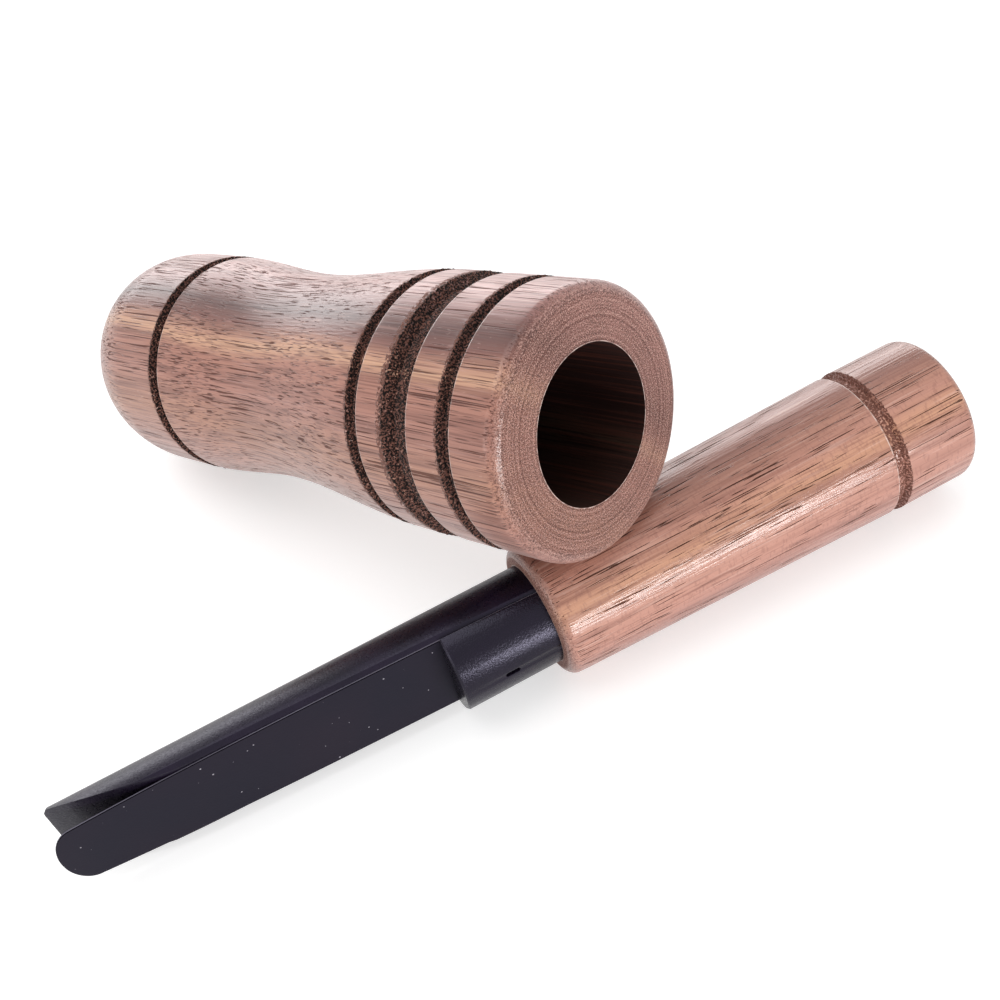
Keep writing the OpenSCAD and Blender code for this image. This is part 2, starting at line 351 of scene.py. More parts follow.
def lathe_sockets(tree):
    """Gives the tree its named inputs and its output, and returns the inputs."""
    for name, kind in (
        ("Section", "Geometry"),
        ("Facets", "Int"),
        ("Char depth", "Float"),
        ("Char grain", "Float"),
        ("Outside", "Material"),
        ("Inside", "Material"),
    ):
        tree.interface.new_socket(name, in_out="INPUT", socket_type="NodeSocket" + kind)
    tree.interface.new_socket("Piece", in_out="OUTPUT", socket_type="NodeSocketGeometry")
    return add(tree, "NodeGroupInput").outputs


def lathe_grid(tree, section, facets):
    """A flat grid, and of each of its points the angle round the axis and the row."""
    # One column for each facet, and one more that closes the turn; one row for each point
    rows = add(tree, "GeometryNodeAttributeDomainSize", (section,)).outputs["Point Count"]
    row_gaps = add(tree, "ShaderNodeMath", (rows, 1), operation="SUBTRACT")
    columns = add(tree, "ShaderNodeMath", (facets, 1), operation="ADD")
    grid = add(tree, "GeometryNodeMeshGrid", (math.tau, row_gaps, columns, rows))
    flat = add(tree, "ShaderNodeSeparateXYZ", (add(tree, "GeometryNodeInputPosition"),)).outputs
    angle = add(tree, "ShaderNodeMath", (flat["X"], math.pi), operation="ADD")
    half = add(tree, "ShaderNodeMath", (row_gaps, 2), operation="DIVIDE")
    row = add(tree, "ShaderNodeMath", (flat["Y"], half), operation="ADD")
    row = add(tree, "FunctionNodeFloatToInt", (row,), rounding_mode="ROUND")
    return grid, angle, row


# %% Places round the axis
def looked_up(tree, section, row):
    """The shares of a row's point of the section, by name, and its place in the section."""
    carried = {}
    for name in SHARES:
        value = add(tree, "GeometryNodeInputNamedAttribute", (name,), data_type="FLOAT")
        found = (section, value, row)
        carried[name] = add(tree, "GeometryNodeSampleIndex", found, data_type="FLOAT")
    point = add(tree, "GeometryNodeInputPosition")
    point = add(tree, "GeometryNodeSampleIndex", (section, point, row), data_type="FLOAT_VECTOR")
    return carried, add(tree, "ShaderNodeSeparateXYZ", (point,)).outputs


def round_the_axis(tree, angle, point):
    """Which way is out from the axis, and a point's place on the smooth turned surface."""
    cosine = add(tree, "ShaderNodeMath", (angle,), operation="COSINE")
    sine = add(tree, "ShaderNodeMath", (angle,), operation="SINE")
    outward = add(tree, "ShaderNodeCombineXYZ", (cosine, sine, 0))
    across = {"Vector": outward, "Scale": point["X"]}
    across = add(tree, "ShaderNodeVectorMath", across, operation="SCALE")
    along = add(tree, "ShaderNodeCombineXYZ", (0, 0, point["Z"]))
    return outward, add(tree, "ShaderNodeVectorMath", (across, along), operation="ADD")


def charred_push(tree, given, char, outward, smooth):
    """How far the noise of the charred rows pushes a point in or out."""
    # Noise runs from 0 to 1, so it is spread evenly to both sides
    scale = add(tree, "ShaderNodeMath", (1, given["Char grain"]), operation="DIVIDE")
    grit = add(tree, "ShaderNodeTexNoise", {"Vector": smooth, "Scale": scale, "Detail": 2.0})
    grit = add(tree, "ShaderNodeMapRange", (grit, 0, 1, -0.5, 0.5))
    burnt = add(tree, "ShaderNodeMath", (char, 0), operation="MAXIMUM")
    push = add(tree, "ShaderNodeMath", (grit, burnt), operation="MULTIPLY")
    push = add(tree, "ShaderNodeMath", (push, given["Char depth"]), operation="MULTIPLY")
    return add(tree, "ShaderNodeVectorMath", {"Vector": outward, "Scale": push}, operation="SCALE")


# %% Build the lathe
# Points closer than this are the same point
WELD = 0.002 * MM
# Edges that bend by more than this many degrees stay crisp
CRISP_BEND = 50


def lathe_tree():
    """A node tree that turns a section into a closed mesh, with its finish."""
    tree = bpy.data.node_groups.new("lathe", "GeometryNodeTree")
    tree.is_modifier = True
    given = lathe_sockets(tree)
    mesh, angle, row = lathe_grid(tree, given["Section"], given["Facets"])
    carried, point = looked_up(tree, given["Section"], row)
    outward, smooth = round_the_axis(tree, angle, point)
    push = charred_push(tree, given, carried["char"], outward, smooth)

    in_mm = {"Vector": smooth, "Scale": 1 / MM}
    in_mm = add(tree, "ShaderNodeVectorMath", in_mm, operation="SCALE")
    stored = [("grain", in_mm, "FLOAT_VECTOR")]
    stored += [(name, value, "FLOAT") for name, value in carried.items()]
    for name, value, kind in stored:
        value = (mesh, True, name, value)
        mesh = add(tree, "GeometryNodeStoreNamedAttribute", value, data_type=kind)
    moved = {"Geometry": mesh, "Position": smooth, "Offset": push}
    mesh = add(tree, "GeometryNodeSetPosition", moved)
    mesh = add(tree, "GeometryNodeMergeByDistance", {"Geometry": mesh, "Distance": WELD})

    bend = add(tree, "GeometryNodeInputMeshEdgeAngle").outputs["Unsigned Angle"]
    crisp = add(tree, "ShaderNodeMath", (bend, math.radians(CRISP_BEND)), operation="GREATER_THAN")
    mesh = add(tree, "GeometryNodeSetShadeSmooth", (mesh, True, True), domain="FACE")
    mesh = add(tree, "GeometryNodeSetShadeSmooth", (mesh, crisp, False), domain="EDGE")

    inner = add(tree, "GeometryNodeInputNamedAttribute", ("bore",), data_type="FLOAT")
    inner = add(tree, "ShaderNodeMath", (inner, 0.5), operation="GREATER_THAN")
    mesh = add(tree, "GeometryNodeRealizeInstances", (mesh,))
    mesh = add(tree, "GeometryNodeSetMaterial", (mesh, True, given["Outside"]))
    mesh = add(tree, "GeometryNodeSetMaterial", (mesh, inner, given["Inside"]))
    add(tree, "NodeGroupOutput", (mesh,))
    return tree


LATHE = lathe_tree()
print("nodes in the lathe:", len(LATHE.nodes))

# %% [markdown]
# ## Turn a piece
# On a real lathe the blank spins and the tool follows the section. Here the lathe's tree sits on
# the section as a modifier. The object could be moved to its place afterwards, but the mesh is, so
# that the object stays at the origin and the figure can't slide on it.

# %% Turn a piece
# How far the crumbly floor of a charred groove reaches in and out in all, and the size of a crumb
CHAR_DEPTH = 0.5 * MM
CHAR_GRAIN = 0.4 * MM


def section_mesh(name, chain):
    """The section as a chain of points, in metres, with the shares that the lathe looks up."""
    mesh = bpy.data.meshes.new(name)
    points = [(radius * MM, 0, along * MM) for radius, along, *shares in chain]
    mesh.from_pydata(points, [(i, i + 1) for i in range(len(points) - 1)], [])
    for place, attribute in enumerate(SHARES, start=2):
        data = mesh.attributes.new(attribute, "FLOAT", "POINT").data
        data.foreach_set("value", [point[place] for point in chain])
    return mesh


def turn(name, chain, place, facets, outside, inside):
    """Turns a closed section on the lathe, and returns the finished mesh object in its place."""
    drawn = section_mesh(name + "_section", chain)
    section = new_object(name + "_section", drawn)
    lathe = section.modifiers.new("lathe", "NODES")
    lathe.node_group = LATHE
    given = {
        "Facets": facets,
        "Char depth": CHAR_DEPTH,
        "Char grain": CHAR_GRAIN,
        "Outside": outside,
        "Inside": inside,
    }
    for socket in LATHE.interface.items_tree:
        if socket.in_out == "INPUT" and socket.name in given:
            lathe[socket.identifier] = given[socket.name]
    turned = section.evaluated_get(bpy.context.evaluated_depsgraph_get())
    mesh = bpy.data.meshes.new_from_object(turned)
    mesh.name = name
    bpy.data.objects.remove(section)
    bpy.data.meshes.remove(drawn)
    mesh.transform(place)
    return new_object(name, mesh)


# %% [markdown]
# ## Walnut
# Walnut is brown with darker and paler growth bands, fine fibres, and long thin vessels, which show
# as dark dashes along the grain and as dots across it. They could be drawn on each surface. Here
# they come from the point's place in the blank, by noise drawn out along Z, because the dashes then
# shorten by themselves on the waist, the dome and the square end, as in solid wood.


# %% Streaks along the grain
def new_material(name):
    """A material with an empty tree, and the tree."""
    material = bpy.data.materials.new(name)
    material.use_nodes = True
    material.node_tree.nodes.clear()
    return material, material.node_tree


def streaks(tree, blank, across_mm, along_mm, detail=1.0):
    """Noise drawn out along the grain, in patches about across_mm wide and along_mm long."""
    scale = (1 / across_mm, 1 / across_mm, 1 / along_mm)
    vector = add(tree, "ShaderNodeMapping", {"Vector": blank, "Scale": scale})
    return add(tree, "ShaderNodeTexNoise", {"Vector": vector, "Scale": 1.0, "Detail": detail})


# %% Growth bands
# How far the growth bands wander to each side of straight, and the patches they do it in, in mm
BAND_WANDER = 2.5
WANDER_PATCH = (14, 45)


def growth_bands(tree, blank, bands, reach):
    """The colours of the growth bands, from heart to bark."""
    wander = streaks(tree, blank, *WANDER_PATCH)
    wander = add(tree, "ShaderNodeMapRange", (wander, 0, 1, -BAND_WANDER, BAND_WANDER))
    across = add(tree, "ShaderNodeSeparateXYZ", (blank,)).outputs["Y"]
    ring = add(tree, "ShaderNodeMath", (across, wander), operation="ADD")
    share = add(tree, "ShaderNodeMapRange", (ring, -reach, reach))
    colour = add(tree, "ShaderNodeValToRGB", (share,))
    elements = colour.color_ramp.elements
    while len(elements) < len(bands):
        elements.new(0.5)
    for element, (place, tint) in zip(elements, bands):
        element.position = place
        element.color = linear(tint)
    return colour


# %% Vessels
# Width and length of wide and narrow vessels in mm. Real ones are 0.1 to 0.2 mm wide, about a
# pixel of the picture, so they are drawn a little wider to show
VESSELS = ((0.26, 18), (0.2, 7))
# They crowd in patches of this width and length in mm
CROWD_PATCH = (3, 45)
# Nearly all of a noise lies between these two values
NOISE_MIDDLE = (0.35, 0.65)
# The range of noise over which a vessel opens: narrow, because its edge is sharp
VESSEL_EDGE = 0.05


def open_vessels(tree, blank, crowding):
    """Whether a vessel is open at a point, from 0 to 1."""
    crowd = (streaks(tree, blank, *CROWD_PATCH), *NOISE_MIDDLE, *crowding)
    crowd = add(tree, "ShaderNodeMapRange", crowd)
    vessel = None
    for size in VESSELS:
        over = (streaks(tree, blank, *size), crowd)
        over = add(tree, "ShaderNodeMath", over, operation="SUBTRACT")
        over = (over, 0, VESSEL_EDGE)
        over = add(tree, "ShaderNodeMapRange", over, interpolation_type="SMOOTHSTEP")
        if vessel is not None:
            over = add(tree, "ShaderNodeMath", (vessel, over), operation="MAXIMUM")
        vessel = over
    return vessel


# %% The figure of the wood
def walnut_figure(tree, wood):
    """The point in the piece's frame and in the blank, its colour, and whether a vessel is open."""
    own = add(tree, "ShaderNodeAttribute", attribute_name="grain").outputs["Vector"]
    turn_back = (0, 0, -math.radians(wood["turned"]))
    blank = add(tree, "ShaderNodeMapping", {"Vector": own, "Rotation": turn_back})
    colour = growth_bands(tree, blank, wood["bands"], wood["reach"])
    for across_mm, along_mm, start, full, strength, tint in wood["streaks"]:
        share = (streaks(tree, blank, across_mm, along_mm), start, full, 0, strength)
        share = add(tree, "ShaderNodeMapRange", share, interpolation_type="SMOOTHSTEP")
        colour = add(tree, "ShaderNodeMix", (share, colour, linear(tint)), data_type="RGBA")
    vessel = open_vessels(tree, blank, wood["crowding"])
    share = (vessel, wood["vessel_strength"])
    share = add(tree, "ShaderNodeMath", share, operation="MULTIPLY")
    tint = linear(wood["vessel_colour"])
    colour = add(tree, "ShaderNodeMix", (share, colour, tint), data_type="RGBA")
    return own, blank, colour, vessel


# %% The two blanks
# Each blank is turned about its axis, in degrees, and its bands reach so many mm to each side.
# Crowding is the noise above which vessels show where they are few and where they crowd. Of each
# streak: width and length in mm, the noise at which it starts and is full, strength and colour
BARREL_BLANK = {
    "turned": 54.5,
    "bands": [
        (0.0, "#b27c70"), (0.18, "#b7846d"), (0.32, "#b27e6f"), (0.45, "#b27d6c"),
        (0.5, "#d6a688"), (0.53, "#c29079"), (0.58, "#85574e"), (0.65, "#4a2a28"),
        (0.74, "#8f635e"), (0.84, "#b7857d"), (1.0, "#c4938c"),
    ],
    "reach": 16,
    "streaks": [
        (2.6, 45, 0.45, 0.7, 0.35, "#7d524a"),
        (0.8, 26, 0.48, 0.72, 0.45, "#774c42"),
        (0.22, 11, 0.46, 0.7, 0.6, "#6d433b"),
        (0.5, 14, 0.6, 0.75, 0.25, "#cfa196"),
        (0.35, 1.1, 0.66, 0.76, 0.15, "#ddb7ac"),
    ],
    "crowding": (0.665, 0.6),
    "vessel_colour": "#522e28",
    "vessel_strength": 0.8,
}
END_BLANK = {
    "turned": 134,
    "bands": [
        (0.0, "#95685d"), (0.14, "#9c6e61"), (0.26, "#b48270"), (0.38, "#b88574"),
        (0.52, "#c79477"), (0.62, "#bf8c7b"), (0.8, "#bb8777"), (1.0, "#ab7a70"),
    ],
    "reach": 10,
    "streaks": [
        (2.6, 45, 0.45, 0.7, 0.35, "#8a5b4f"),
        (0.8, 26, 0.5, 0.72, 0.4, "#805044"),
        (0.22, 11, 0.5, 0.72, 0.4, "#75483c"),
        (0.9, 0.35, 0.52, 0.7, 0.35, "#8e6054"),
        (0.5, 14, 0.6, 0.75, 0.3, "#e0b8aa"),
    ],
    "crowding": (0.7, 0.635),
    "vessel_colour": "#35190f",
    "vessel_strength": 0.9,
}
print("bands in the barrel's blank:", len(BARREL_BLANK["bands"]))

# %% [markdown]
# ## Lacquer, end grain and charring
# The outside was sanded and sprayed with a satin lacquer: to the eye, warm brown with a soft
# highlight that breaks up at open vessels. End grain is darker, speckled and matt, because it
# drinks the lacquer, and the charred grooves are black and dull. Each could be a material of its
# own, but one that blends them by the section's shares lets the charring fade into clean wood.

# %% End grain
# Spacing of the turning marks on a square end, and size of its speckle, in mm. Cut fibres are only
# 0.03 mm wide, which wouldn't show, so the speckle is drawn at about a pixel of the picture
TURNING_MARKS = 0.35
SPECKLE = 0.14
END_GRAIN_BROWN = "#724c43"
# The share of the bands' colour that end grain hides
BANDS_HIDDEN = 0.6
# How much the turning marks add to the speckle
MARK_WEIGHT = 0.2
# Noise at which specks start, and for pale and dark ones: the noise where they are full, their
# strength and colour
SPECKS_START = 0.6
SPECKS = ((0.76, 0.75, "#cda69a"), (0.45, 0.9, "#442a26"))


def over_end_grain(tree, own, end_grain, colour):
    """The colour with end grain over it: less of the bands, a fine speckle and turning marks."""
    share = add(tree, "ShaderNodeMath", (end_grain, BANDS_HIDDEN), operation="MULTIPLY")
    brown = linear(END_GRAIN_BROWN)
    colour = add(tree, "ShaderNodeMix", (share, colour, brown), data_type="RGBA")
    radial = add(tree, "ShaderNodeVectorMath", (own, (1, 1, 0)), operation="MULTIPLY")
    radial = add(tree, "ShaderNodeVectorMath", (radial,), operation="LENGTH")
    mark = {"W": radial, "Scale": 1 / TURNING_MARKS, "Detail": 1.0}
    mark = add(tree, "ShaderNodeTexNoise", mark, noise_dimensions="1D")
    speckle = streaks(tree, own, SPECKLE, SPECKLE, detail=3.0)
    speckle = add(tree, "ShaderNodeMath", (mark, MARK_WEIGHT, speckle), operation="MULTIPLY_ADD")
    for full, strength, tint in SPECKS:
        share = add(tree, "ShaderNodeMapRange", (speckle, SPECKS_START, full, 0, strength))
        share = add(tree, "ShaderNodeMath", (share, end_grain), operation="MULTIPLY")
        colour = add(tree, "ShaderNodeMix", (share, colour, linear(tint)), data_type="RGBA")
    return colour


# %% Painted edge highlights and charring
# The painted highlight on a crisp edge is broken in stretches of this many mm, which change between
# these values of the noise, and is everywhere at least this strong
EDGE_HIGHLIGHT_BREAKS = 0.9
EDGE_HIGHLIGHT_NOISE = (0.42, 0.58)
LEAST_EDGE_HIGHLIGHT = 0.2
# The charred share at which the painted highlight on an edge starts, how strong it gets and its colour
EDGE_HIGHLIGHT_START = -0.3
EDGE_HIGHLIGHT_STRENGTH = 0.75
PAINTED_EDGE_HIGHLIGHT = "#f2ddd4"
CHAR_BLACK = "#0d0504"
SINGED_BROWN = "#7a5247"
# Sizes of the ragged edge of the charring and of its specks, in mm
RAGGED = 0.28
CHAR_SPECKS = 0.22
# Raggedness shifts the charred share this far to each side, between these values of its noise
RAGGED_REACH = 1.3
RAGGED_NOISE = (0.25, 0.75)
# Wood turns black between these shifted shares, but only where it is charred at all
BLACKENED = (0.15, 0.4)
CHARRED_AT_ALL = (0.02, 0.12)
# A speck is browned as its noise, less this share of the charring, rises between these values
SPARED_LESS = 0.35
SPARED = (0.1, 0.28)


def over_painted_edge_highlight(tree, own, char, colour):
    """The colour with a painted highlight along a crisp edge, broken in stretches by noise."""
    highlight_breaks = (streaks(tree, own, EDGE_HIGHLIGHT_BREAKS, EDGE_HIGHLIGHT_BREAKS), *EDGE_HIGHLIGHT_NOISE, LEAST_EDGE_HIGHLIGHT, 1)
    highlight_breaks = add(tree, "ShaderNodeMapRange", highlight_breaks)
    pale = add(tree, "ShaderNodeMapRange", (char, EDGE_HIGHLIGHT_START, PALE, 0, EDGE_HIGHLIGHT_STRENGTH))
    pale = add(tree, "ShaderNodeMath", (pale, highlight_breaks), operation="MULTIPLY")
    return add(tree, "ShaderNodeMix", (pale, colour, linear(PAINTED_EDGE_HIGHLIGHT)), data_type="RGBA")


def over_charring(tree, own, char, colour):
    """The colour with near black over it, ragged and with browned specks, and where both are."""
    ragged = streaks(tree, own, RAGGED, RAGGED, detail=2.0)
    ragged = (ragged, *RAGGED_NOISE, -RAGGED_REACH, RAGGED_REACH)
    ragged = add(tree, "ShaderNodeMapRange", ragged)
    edge = add(tree, "ShaderNodeMath", (char, ragged), operation="ADD")
    edge = add(tree, "ShaderNodeMapRange", (edge, *BLACKENED), interpolation_type="SMOOTHSTEP")
    reached = add(tree, "ShaderNodeMapRange", (char, *CHARRED_AT_ALL))
    charred = add(tree, "ShaderNodeMath", (edge, reached), operation="MULTIPLY")
    specks = streaks(tree, own, CHAR_SPECKS, CHAR_SPECKS, detail=3.0)
    spared = add(tree, "ShaderNodeMath", (char, -SPARED_LESS, specks), operation="MULTIPLY_ADD")
    spared = add(tree, "ShaderNodeMapRange", (spared, *SPARED), interpolation_type="SMOOTHSTEP")
    coal = (spared, linear(CHAR_BLACK), linear(SINGED_BROWN))
    coal = add(tree, "ShaderNodeMix", coal, data_type="RGBA")
    colour = add(tree, "ShaderNodeMix", (charred, colour, coal), data_type="RGBA")
    return colour, charred, specks


# %% Lacquered walnut
# End grain is matt from this share of it, and then this much
MATT_FROM = 0.9
END_GRAIN_MATT = 0.85
# Roughness under the lacquer and where it has sunk in
SMOOTH_WOOD, BARE_WOOD = 0.45, 0.8
# Width and length of the fibres that the bump shows, in mm, drawn coarser than real ones to show
FIBRE = (0.3, 9)
# Height of open vessels and of charred specks against that of the fibres
VESSEL_HEIGHT = -1.2
SPECK_HEIGHT = 3.0


def lacquered_walnut(name, lacquer, haze, wood):
    """Walnut, turned, sanded and sprayed with a satin lacquer, with charred grooves."""
    material, tree = new_material(name)
    own, blank, colour, vessel = walnut_figure(tree, wood)
    end_grain = add(tree, "ShaderNodeAttribute", attribute_name="end_grain").outputs["Fac"]
    char = add(tree, "ShaderNodeAttribute", attribute_name="char").outputs["Fac"]
    colour = over_end_grain(tree, own, end_grain, colour)
    # A pale line is painted along crisp edges as their highlight
    colour = over_painted_edge_highlight(tree, own, char, colour)
    colour, charred, specks = over_charring(tree, own, char, colour)
    # The lacquer sinks into vessels, end grain and charring, and these stay matt
    matt = add(tree, "ShaderNodeMapRange", (end_grain, MATT_FROM, 1, 0, END_GRAIN_MATT))
    matt = add(tree, "ShaderNodeMath", (matt, vessel), operation="MAXIMUM")
    matt = add(tree, "ShaderNodeMath", (matt, charred), operation="MAXIMUM")
    coat = add(tree, "ShaderNodeMapRange", (matt, 0, 1, lacquer, 0))
    rough = add(tree, "ShaderNodeMapRange", (matt, 0, 1, SMOOTH_WOOD, BARE_WOOD))
    # Vessels lie lower than the fibres, and the charred specks stand up
    fibre = streaks(tree, blank, *FIBRE, detail=2.0)
    height = add(tree, "ShaderNodeMath", (vessel, VESSEL_HEIGHT, fibre), operation="MULTIPLY_ADD")
    grit = add(tree, "ShaderNodeMath", (specks, charred), operation="MULTIPLY")
    height = add(tree, "ShaderNodeMath", (grit, SPECK_HEIGHT, height), operation="MULTIPLY_ADD")
    bump = add(tree, "ShaderNodeBump", {"Height": height, "Distance": 0.06 * MM, "Strength": 0.8})
    shader = {
        "Base Color": colour,
        "Roughness": rough,
        "Specular IOR Level": 0.12,
        "Normal": bump,
        "Coat Weight": coat,
        "Coat Roughness": 0.2,
        "Coat Normal": bump,
        "Sheen Weight": haze,
    }
    add(tree, "ShaderNodeOutputMaterial", (add(tree, "ShaderNodeBsdfPrincipled", shader),))
    return material


# %% Walnut inside the bores
# The share of the wood's colour that oil, moisture and painted shade hide, and their near black
BORE_DARKENED_AND_SHADED = 0.94
BORE_DARK_AND_SHADE = "#0e0201"
# Width and length of the lines that the drill left, in mm, and the noise at which one starts and is
# full, its strength at both and its colour
DRILL_LINES = (0.4, 22)
LINE_SHARE = (0.5, 0.66, 0, 0.6)
LINE_BROWN = "#4f2a22"


def bored_walnut(name, wood):
    """Walnut inside a bore: drilled, never lacquered. Nearly black from oil and painted shade, with lines."""
    material, tree = new_material(name)
    _, blank, colour, _ = walnut_figure(tree, wood)
    dark = linear(BORE_DARK_AND_SHADE)
    # Nearly black: partly oiled wood, partly painted shade in the bore
    colour = add(tree, "ShaderNodeMix", (BORE_DARKENED_AND_SHADED, colour, dark), data_type="RGBA")
    line = streaks(tree, blank, *DRILL_LINES, detail=2.0)
    share = add(tree, "ShaderNodeMapRange", (line, *LINE_SHARE))
    colour = add(tree, "ShaderNodeMix", (share, colour, linear(LINE_BROWN)), data_type="RGBA")
    bump = add(tree, "ShaderNodeBump", {"Height": line, "Distance": 0.1 * MM, "Strength": 0.6})
    shader = {"Base Color": colour, "Roughness": 0.6, "Specular IOR Level": 0.2, "Normal": bump}
    add(tree, "ShaderNodeOutputMaterial", (add(tree, "ShaderNodeBsdfPrincipled", shader),))
    return material


# The end piece has the thicker lacquer and hardly any haze
barrel_walnut = lacquered_walnut("lacquered_walnut_barrel", 0.55, 0.16, BARREL_BLANK)
barrel_bore = bored_walnut("bored_walnut_barrel", BARREL_BLANK)
end_walnut = lacquered_walnut("lacquered_walnut_end_piece", 0.7, 0.03, END_BLANK)
end_bore = bored_walnut("bored_walnut_end_piece", END_BLANK)
print("materials:", [material.name for material in bpy.data.materials])

# %% [markdown]
# ## The barrel and the end piece
# These are the two turnings of the real call. Their solids could be given the walnut, but those
# have smooth grooves, so each is turned afresh from its section, in its place.

# %% Turn the barrel and the end piece
# Steps round the axis, about 0.25 mm each on the barrel, which is fine enough for charred crumbs
BARREL_FACETS = 400
END_FACETS = 320

turned_barrel = turn(
    "turned_barrel", barrel_section(), barrel_place, BARREL_FACETS, barrel_walnut, barrel_bore
)
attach(turned_barrel, "barrel")
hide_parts("barrel")
turned_end = turn("turned_end_piece", end_section(), end_place, END_FACETS, end_walnut, end_bore)
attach(turned_end, "end_piece")
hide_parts("end_piece")
for piece in (turned_barrel, turned_end):
    print(piece.name, "has", len(piece.data.polygons), "faces")

# %% [markdown]
# ## Moulded plastic
# The tone board and the wedge are moulded plastic. To the eye it is nearly black with a violet
# cast, and the mould's fine grain sparkles in its highlight. Their solids have dead sharp edges,
# which a mould never leaves. They could be modelled again, but a small bevel is all they lack.

# %% Make the black plastic
# What a white light looks like mirrored in the plastic and the film
VIOLET = (0.8, 0.76, 1.0, 1.0)
# The plastic's clouds and grain change between these values of their noise
PLASTIC_NOISE = (0.3, 0.7)
# Its paler clouds: their size in mm, that noise and their strength
CLOUDS = (5, *PLASTIC_NOISE, 0.5)
# The grain changes the roughness by this much to each side, and is this deep
ROUGH_SPREAD = 0.1
GRAIN_DEPTH = 0.03 * MM


def clouded_plastic(name, colour, haze, cloud_mm, low, high, strength):
    """A material, its tree, a point's place in mm, and a colour that drifts to a paler one."""
    material, tree = new_material(name)
    place = add(tree, "ShaderNodeTexCoord").outputs["Object"]
    in_mm = add(tree, "ShaderNodeMapping", {"Vector": place, "Scale": [1 / MM] * 3})
    share = (streaks(tree, in_mm, cloud_mm, cloud_mm), low, high, 0, strength)
    share = add(tree, "ShaderNodeMapRange", share)
    colour = add(tree, "ShaderNodeMix", (share, linear(colour), linear(haze)), data_type="RGBA")
    return material, tree, in_mm, colour


def moulded_plastic(name, colour, haze, roughness, grain_mm, strength):
    """Black plastic from a mould with a fine grain."""
    material, tree, in_mm, colour = clouded_plastic(name, colour, haze, *CLOUDS)
    grain = streaks(tree, in_mm, grain_mm, grain_mm, detail=2.0)
    rough = (grain, *PLASTIC_NOISE, roughness - ROUGH_SPREAD, roughness + ROUGH_SPREAD)
    rough = add(tree, "ShaderNodeMapRange", rough)
    bump = {"Height": grain, "Distance": GRAIN_DEPTH, "Strength": strength}
    bump = add(tree, "ShaderNodeBump", bump)
    shader = {
        "Base Color": colour,
        "Roughness": rough,
        "Specular IOR Level": 0.3,
        "Specular Tint": VIOLET,
        "Normal": bump,
    }
    add(tree, "ShaderNodeOutputMaterial", (add(tree, "ShaderNodeBsdfPrincipled", shader),))
    return material


# A mould's grain is 0.05 to 0.1 mm, too fine to show, so it is drawn at 0.25 and 0.2 mm
board_plastic = moulded_plastic("moulded_plastic_board", "#0c0812", "#1d1326", 0.34, 0.25, 0.8)
wedge_plastic = moulded_plastic("moulded_plastic_wedge", "#0b0810", "#18101f", 0.27, 0.2, 1.0)
print("plastics:", board_plastic.name, "and", wedge_plastic.name)

# %% Round the edges that a mould rounds
# Edges that bend by more than this many degrees are edges of the mould
MOULD_EDGE = 30
# How much each edge is rounded, in mm
BOARD_ROUNDING = 0.12
WEDGE_ROUNDING = 0.08


def weld_and_smooth(piece, outwards):
    """Merges a mesh's doubles, turns its faces outwards if asked, and smooths all but its edges."""
    work = bmesh.new()
    work.from_mesh(piece.data)
    bmesh.ops.remove_doubles(work, verts=work.verts, dist=WELD)
    bmesh.ops.dissolve_degenerate(work, edges=work.edges, dist=WELD / 2)
    if outwards:
        bmesh.ops.recalc_face_normals(work, faces=work.faces)
    work.to_mesh(piece.data)
    work.free()
    piece.data.polygons.foreach_set("use_smooth", [True] * len(piece.data.polygons))
    piece.data.set_sharp_from_angle(angle=math.radians(MOULD_EDGE))


def soft_edged(name, node, edge_mm, material):
    """A copy of a CAD node whose sharp edges are rounded, as a mould leaves them."""
    mesh = frame["nodes"][node].data.copy()
    mesh.name = name
    piece = new_object(name, mesh)
    mesh.materials.clear()
    mesh.materials.append(material)
    weld_and_smooth(piece, outwards=False)
    bevel = piece.modifiers.new("soft_edges", "BEVEL")
    bevel.width = edge_mm * MM
    bevel.segments = 2
    bevel.limit_method = "ANGLE"
    bevel.angle_limit = math.radians(MOULD_EDGE)
    bevel.harden_normals = True
    rounded = piece.evaluated_get(bpy.context.evaluated_depsgraph_get())
    piece.data = bpy.data.meshes.new_from_object(rounded)
    piece.modifiers.clear()
    bpy.data.meshes.remove(mesh)
    piece.data.name = name
    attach(piece, node)
    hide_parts(node)
    print(name, "has", len(piece.data.polygons), "faces")
    return piece


soft_edged("moulded_tone_board", "tone_board", BOARD_ROUNDING, board_plastic)
soft_edged("moulded_wedge", "wedge", WEDGE_ROUNDING, wedge_plastic)

# %% [markdown]
# ## The reed
# The reed is a strip of dark polyester film, a quarter of a millimetre thick, which narrows to a
# round tip. It could be one flat face with a thickness, but its free end bends over the tone board
# when the call is blown, so it is drawn as a fine strip of many short runs. The shears press down a
# narrow rim beside the cut, so it has four layers: two for its faces and two for the edge between.

# %% Sizes of the reed
# In mm, as in the solids. It reaches this far out past the end piece's near rim
REED = {
    "thickness": 0.25, "root_width": 11.7, "tip_width": 9.4, "out": 60.8, "tip_length": 2.9,
    "taper_power": 3, "under_wedge": 27.68,
}
# The wedge's front is this far past that rim. There the table is this high, and it falls by this
# many degrees towards the tip
WEDGE_OUT = 12.7
TABLE_HEIGHT = 1.4
TABLE_SLOPE = 1.8
# The shears leave a small bevel on both faces, a larger one on the upper face
LOWER_BEVEL = 0.03
UPPER_BEVEL = 0.08
FREE_LENGTH = REED["out"] - WEDGE_OUT
STRAIGHT_LENGTH = FREE_LENGTH - REED["tip_length"]
print("reed before it bends, mm:", round(REED["under_wedge"] + FREE_LENGTH, 1), "long")

# %% Points of the reed
# Height over the table and how far in from the outline, of each layer from the lower face up
REED_LAYERS = (
    (0, LOWER_BEVEL),
    (LOWER_BEVEL, 0),
    (REED["thickness"] - UPPER_BEVEL, 0),
    (REED["thickness"], UPPER_BEVEL),
)
REED_ACROSS = 14
REED_RUNS = 150
TIP_RUNS = 16
# Half the width that is left at the very tip, in mm, so that its faces keep some area
TIP_LEFT = 0.02


